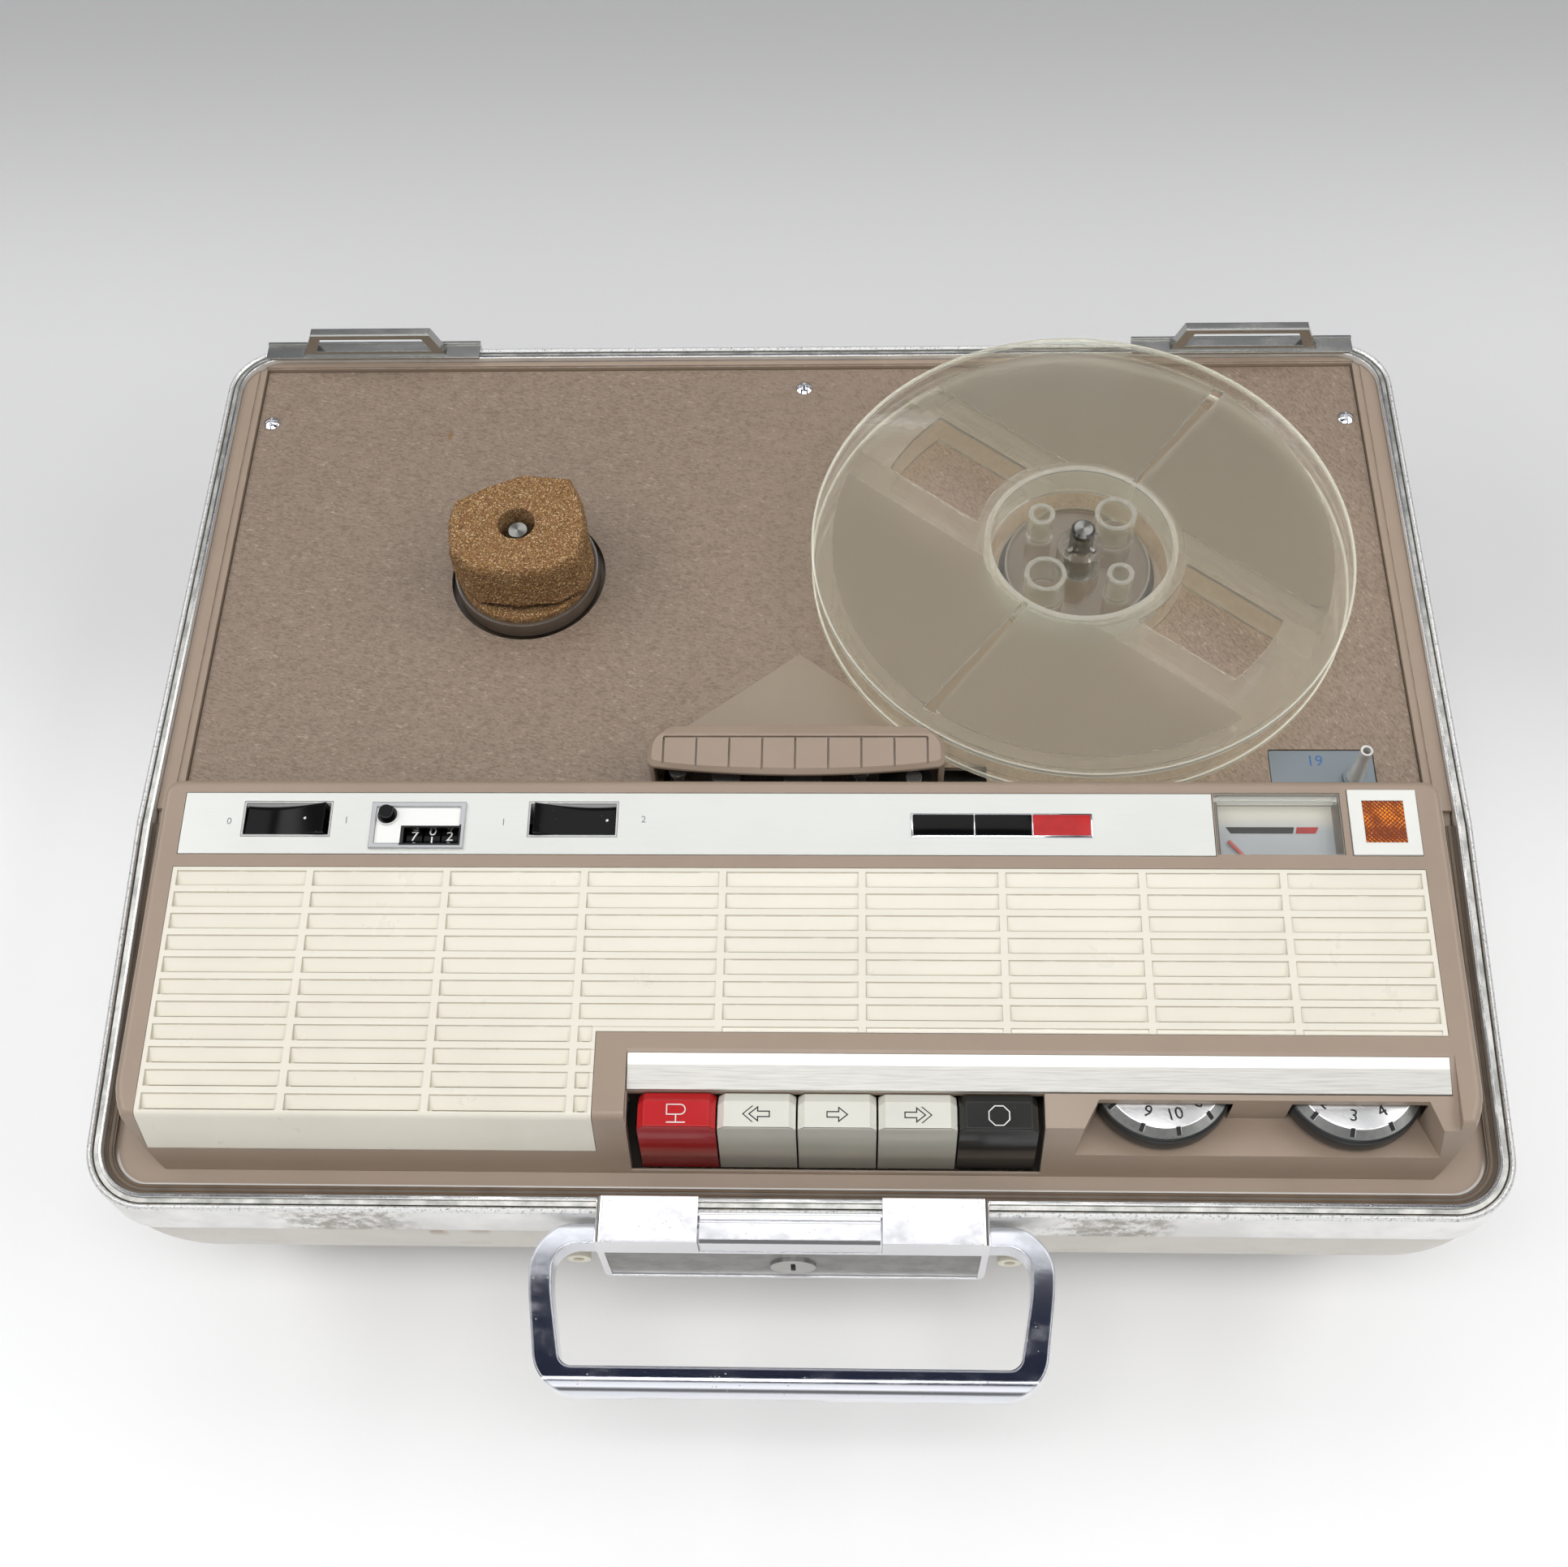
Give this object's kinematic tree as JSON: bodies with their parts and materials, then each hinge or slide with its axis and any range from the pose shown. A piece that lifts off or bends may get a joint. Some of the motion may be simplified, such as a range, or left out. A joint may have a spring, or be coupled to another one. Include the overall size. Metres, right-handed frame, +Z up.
{
  "type": "portable reel-to-reel tape recorder",
  "caption": "Suitcase-style open-reel tape recorder with its lid off: sloping console with keys, thumbwheels, meter and counter, reel spindles, a clear reel, drive parts and a folding handle.",
  "frame": {"origin": "on the table under the middle of the object's overall outline", "axes": "+X to the user's right, +Y to the rear (hinge side), +Z up"},
  "size_m": [0.417, 0.369, 0.145],
  "materials": {
    "cream_shell": "semi-gloss moulded plastic, warm cream",
    "taupe_plastic": "fine satin moulded plastic",
    "taupe_vinyl": "pebble-grained vinyl on sheet steel",
    "rim_aluminium": "extruded, grooved, lightly stained",
    "chrome_plate": "polished chrome plate with light pitting",
    "polished_steel": "turned and polished steel",
    "strip_aluminium": "satin anodised sheet",
    "cream_grille": "moulded plastic, semi-gloss",
    "red_key": "moulded plastic",
    "white_key": "moulded plastic",
    "black_key": "moulded plastic",
    "black_gloss": "polished moulded plastic",
    "black_matte": "moulded plastic",
    "dial_metal": "spun aluminium top on a black knurled rim",
    "clear_plastic": "clear moulded plastic",
    "lamp_orange": "translucent moulded plastic",
    "bezel_white": "moulded plastic",
    "needle_red": "enamelled",
    "table_brown": "moulded phenolic",
    "foam": "open-cell sponge, aged",
    "rubber": "moulded rubber",
    "buffer_cream": "moulded nylon",
    "steel_sheet": "zinc-plated sheet",
    "spring_steel": "spring wire",
    "brass": "turned brass",
    "motor_can": "painted steel can",
    "cast": "laminated iron core",
    "board": "phenolic board"
  },
  "bodies": {
    "case": {"bottom_shell": "cream_shell", "rim_band": "rim_aluminium", "rubber_feet": "rubber", "screws": "chrome_plate", "deck_frame": "taupe_plastic", "deck_plate": "taupe_vinyl", "chassis_plate": "steel_sheet", "console_housing": "taupe_plastic", "speaker_grille": "cream_grille", "control_strip": "strip_aluminium", "rocker_switches": "black_matte", "counter_frame": "black_gloss", "meter_case": "black_matte", "meter_lens": "clear_plastic", "lamp_bezel": "bezel_white", "lamp_lens": "lamp_orange", "label_strip": "strip_aluminium", "key_shaft": "polished_steel", "key_springs": "spring_steel", "potentiometers": "steel_sheet", "head_cover": "taupe_plastic", "head_plate": "taupe_plastic", "tape_heads": "polished_steel", "drive_belt": "rubber", "motor": "motor_can", "speed_plate": "strip_aluminium", "capstan_sleeve": "polished_steel", "lid_hinges": "chrome_plate", "lock_box": "chrome_plate", "buffers": "buffer_cream", "speaker": "motor_can", "transformer": "cast", "circuit_board": "board", "socket_panel": "black_matte"},
    "battery_door": {"battery_cover": "cream_shell"},
    "level_paddle": {"level_rocker": "black_gloss"},
    "speed_paddle": {"speed_rocker": "black_gloss"},
    "hundreds_wheel": {"counter_hundreds": "black_matte"},
    "tens_wheel": {"counter_tens": "black_matte"},
    "units_wheel": {"counter_units": "black_matte"},
    "reset_knob": {"reset_button": "black_gloss"},
    "needle": {"meter_needle": "needle_red"},
    "record_key": {"key_record": "red_key"},
    "rewind_key": {"key_rewind": "white_key"},
    "forward_key": {"key_forward": "white_key"},
    "fast_forward_key": {"key_fast_forward": "white_key"},
    "stop_key": {"key_stop": "black_key"},
    "volume_dial": {"volume_wheel": "dial_metal"},
    "tone_dial": {"tone_wheel": "dial_metal"},
    "roller_arm": {"pinch_arm": "steel_sheet"},
    "roller": {"pinch_roller": "rubber"},
    "flywheel": {"capstan": "polished_steel"},
    "pulley": {"motor_pulley": "brass"},
    "left_turntable": {"left_reel_table": "table_brown", "foam_ring": "foam"},
    "right_turntable": {"right_reel_table": "table_brown", "tape_reel": "clear_plastic"},
    "latch": {"pull_latch": "chrome_plate"},
    "lock_barrel": {"lock_cylinder": "polished_steel"},
    "carry_handle": {"handle": "chrome_plate"}
  },
  "joints": [
    {"name": "battery_door_slide", "type": "slide", "parent": "case", "child": "battery_door", "axis": [0, -1, 0], "range_m": [0, 0.014]},
    {"name": "level_rocker_tilt", "type": "hinge", "parent": "case", "child": "level_paddle", "pos_m": [-0.1549, -0.0227, 0.132], "axis": [0, 1, 0], "range_deg": [0, 14]},
    {"name": "speed_rocker_tilt", "type": "hinge", "parent": "case", "child": "speed_paddle", "pos_m": [-0.0673, -0.0227, 0.132], "axis": [0, 1, 0], "range_deg": [-14, 0]},
    {"name": "hundreds_wheel_turn", "type": "hinge", "parent": "case", "child": "hundreds_wheel", "pos_m": [-0.1156, -0.0283, 0.12815], "axis": [1, 0, 0], "continuous": true},
    {"name": "tens_wheel_turn", "type": "hinge", "parent": "case", "child": "tens_wheel", "pos_m": [-0.1102, -0.0283, 0.12815], "axis": [1, 0, 0], "continuous": true},
    {"name": "units_wheel_turn", "type": "hinge", "parent": "case", "child": "units_wheel", "pos_m": [-0.1048, -0.0283, 0.12815], "axis": [1, 0, 0], "continuous": true},
    {"name": "reset_press", "type": "slide", "parent": "case", "child": "reset_knob", "axis": [0, 0, -1], "range_m": [0, 0.0025], "stiffness_N_per_m": 300, "springref_m": -0.002},
    {"name": "needle_swing", "type": "hinge", "parent": "case", "child": "needle", "pos_m": [0.1446, -0.0428, 0.12939], "axis": [0, -0.0797, 0.9968], "range_deg": [-78, 0], "stiffness_Nm_per_rad": 0.0005},
    {"name": "record_key_press", "type": "hinge", "parent": "case", "child": "record_key", "pos_m": [-0.0324, -0.0724, 0.114], "axis": [1, 0, 0], "range_deg": [0, 7], "stiffness_Nm_per_rad": 0.4, "springref_deg": -5.73},
    {"name": "rewind_key_press", "type": "hinge", "parent": "case", "child": "rewind_key", "pos_m": [-0.0096, -0.0724, 0.114], "axis": [1, 0, 0], "range_deg": [0, 7], "stiffness_Nm_per_rad": 0.4, "springref_deg": -5.73},
    {"name": "forward_key_press", "type": "hinge", "parent": "case", "child": "forward_key", "pos_m": [0.0132, -0.0724, 0.114], "axis": [1, 0, 0], "range_deg": [0, 7], "stiffness_Nm_per_rad": 0.4, "springref_deg": -5.73},
    {"name": "fast_forward_key_press", "type": "hinge", "parent": "case", "child": "fast_forward_key", "pos_m": [0.036, -0.0724, 0.114], "axis": [1, 0, 0], "range_deg": [0, 7], "stiffness_Nm_per_rad": 0.4, "springref_deg": -5.73},
    {"name": "stop_key_press", "type": "hinge", "parent": "case", "child": "stop_key", "pos_m": [0.0588, -0.0724, 0.114], "axis": [1, 0, 0], "range_deg": [0, 7], "stiffness_Nm_per_rad": 0.4, "springref_deg": -5.73},
    {"name": "volume_turn", "type": "hinge", "parent": "case", "child": "volume_dial", "pos_m": [0.1063, -0.0972, 0.12], "axis": [0, 0, 1], "range_deg": [-255, 15]},
    {"name": "tone_turn", "type": "hinge", "parent": "case", "child": "tone_dial", "pos_m": [0.161, -0.0972, 0.12], "axis": [0, 0, 1], "range_deg": [-90, 180]},
    {"name": "roller_arm_swing", "type": "hinge", "parent": "case", "child": "roller_arm", "pos_m": [0.063, -0.0224, 0.1065], "axis": [0, 0, 1], "range_deg": [-16, 0]},
    {"name": "roller_turn", "type": "hinge", "parent": "roller_arm", "child": "roller", "pos_m": [0.0375, -0.0216, 0.121], "axis": [0, 0, 1], "continuous": true},
    {"name": "flywheel_turn", "type": "hinge", "parent": "case", "child": "flywheel", "pos_m": [0.0365, -0.004, 0.082], "axis": [0, 0, 1], "continuous": true},
    {"name": "pulley_turn", "type": "hinge", "parent": "case", "child": "pulley", "pos_m": [-0.05, -0.0024, 0.082], "axis": [0, 0, 1], "continuous": true},
    {"name": "left_turntable_turn", "type": "hinge", "parent": "case", "child": "left_turntable", "pos_m": [-0.0927, 0.0831, 0.12], "axis": [0, 0, 1], "continuous": true},
    {"name": "right_turntable_turn", "type": "hinge", "parent": "case", "child": "right_turntable", "pos_m": [0.0927, 0.0831, 0.12], "axis": [0, 0, 1], "continuous": true},
    {"name": "latch_pull", "type": "slide", "parent": "case", "child": "latch", "axis": [0, -1, 0], "range_m": [0, 0.004], "stiffness_N_per_m": 400, "springref_m": -0.003},
    {"name": "lock_turn", "type": "hinge", "parent": "case", "child": "lock_barrel", "pos_m": [0.0003, -0.1404, 0.0874], "axis": [0, 1, 0], "range_deg": [0, 90]},
    {"name": "handle_fold", "type": "hinge", "parent": "case", "child": "carry_handle", "pos_m": [0, -0.14, 0.097], "axis": [1, 0, 0], "range_deg": [0, 80]}
  ],
  "couplings": [
    {"joint": "roller_arm_swing", "follows": "forward_key_press", "ratio": -2.2857},
    {"joint": "pulley_turn", "follows": "flywheel_turn", "ratio": 5.4286},
    {"joint": "units_wheel_turn", "follows": "left_turntable_turn", "ratio": 0.5},
    {"joint": "tens_wheel_turn", "follows": "left_turntable_turn", "ratio": 0.05},
    {"joint": "hundreds_wheel_turn", "follows": "left_turntable_turn", "ratio": 0.005}
  ]
}
